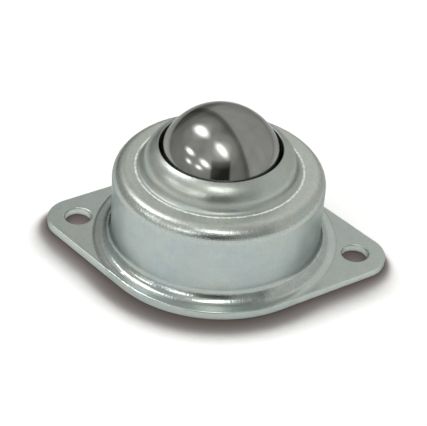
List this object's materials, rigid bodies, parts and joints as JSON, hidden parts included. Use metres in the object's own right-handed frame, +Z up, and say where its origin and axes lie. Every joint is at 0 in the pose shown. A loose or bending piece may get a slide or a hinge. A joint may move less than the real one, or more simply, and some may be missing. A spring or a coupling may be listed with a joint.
{
  "type": "ball transfer unit",
  "caption": "Ball transfer unit: a polished steel load ball in a drawn zinc-plated housing with a rhombic screw flange, rolling every way on a bed of bearing balls.",
  "frame": {"origin": "middle of the flange's underside, on the axis of the housing", "axes": "+X along the line of the flange's holes, +Z up along the axis of the housing, out through the load ball"},
  "size_m": [0.0706, 0.05, 0.032],
  "materials": {
    "zinc_plate": "satin zinc plating",
    "zinc_plate_base": "satin zinc plating",
    "hardened_steel": "hardened and ground",
    "ball_steel": "lapped and polished",
    "bearing_steel": "lapped and polished"
  },
  "bodies": {
    "housing_body": {"housing": "zinc_plate", "base_plate": "zinc_plate_base", "support_cup": "hardened_steel"},
    "bearing_bed": {"bearing_ball_centre": "bearing_steel", "bearing_ball_row_1": "bearing_steel", "bearing_ball_row_2": "bearing_steel", "bearing_ball_row_3": "bearing_steel", "bearing_ball_row_4": "bearing_steel", "bearing_ball_row_5": "bearing_steel", "bearing_ball_row_6": "bearing_steel"},
    "ball_body": {"load_ball": "ball_steel"}
  },
  "joints": [
    {"name": "ball_heading", "type": "hinge", "parent": "housing_body", "child": "bearing_bed", "pos_m": [0, 0, 0.01931], "axis": [0, 0, 1], "continuous": true},
    {"name": "ball_roll", "type": "hinge", "parent": "bearing_bed", "child": "ball_body", "pos_m": [0, 0, 0.01931], "axis": [1, 0, 0], "continuous": true}
  ]
}
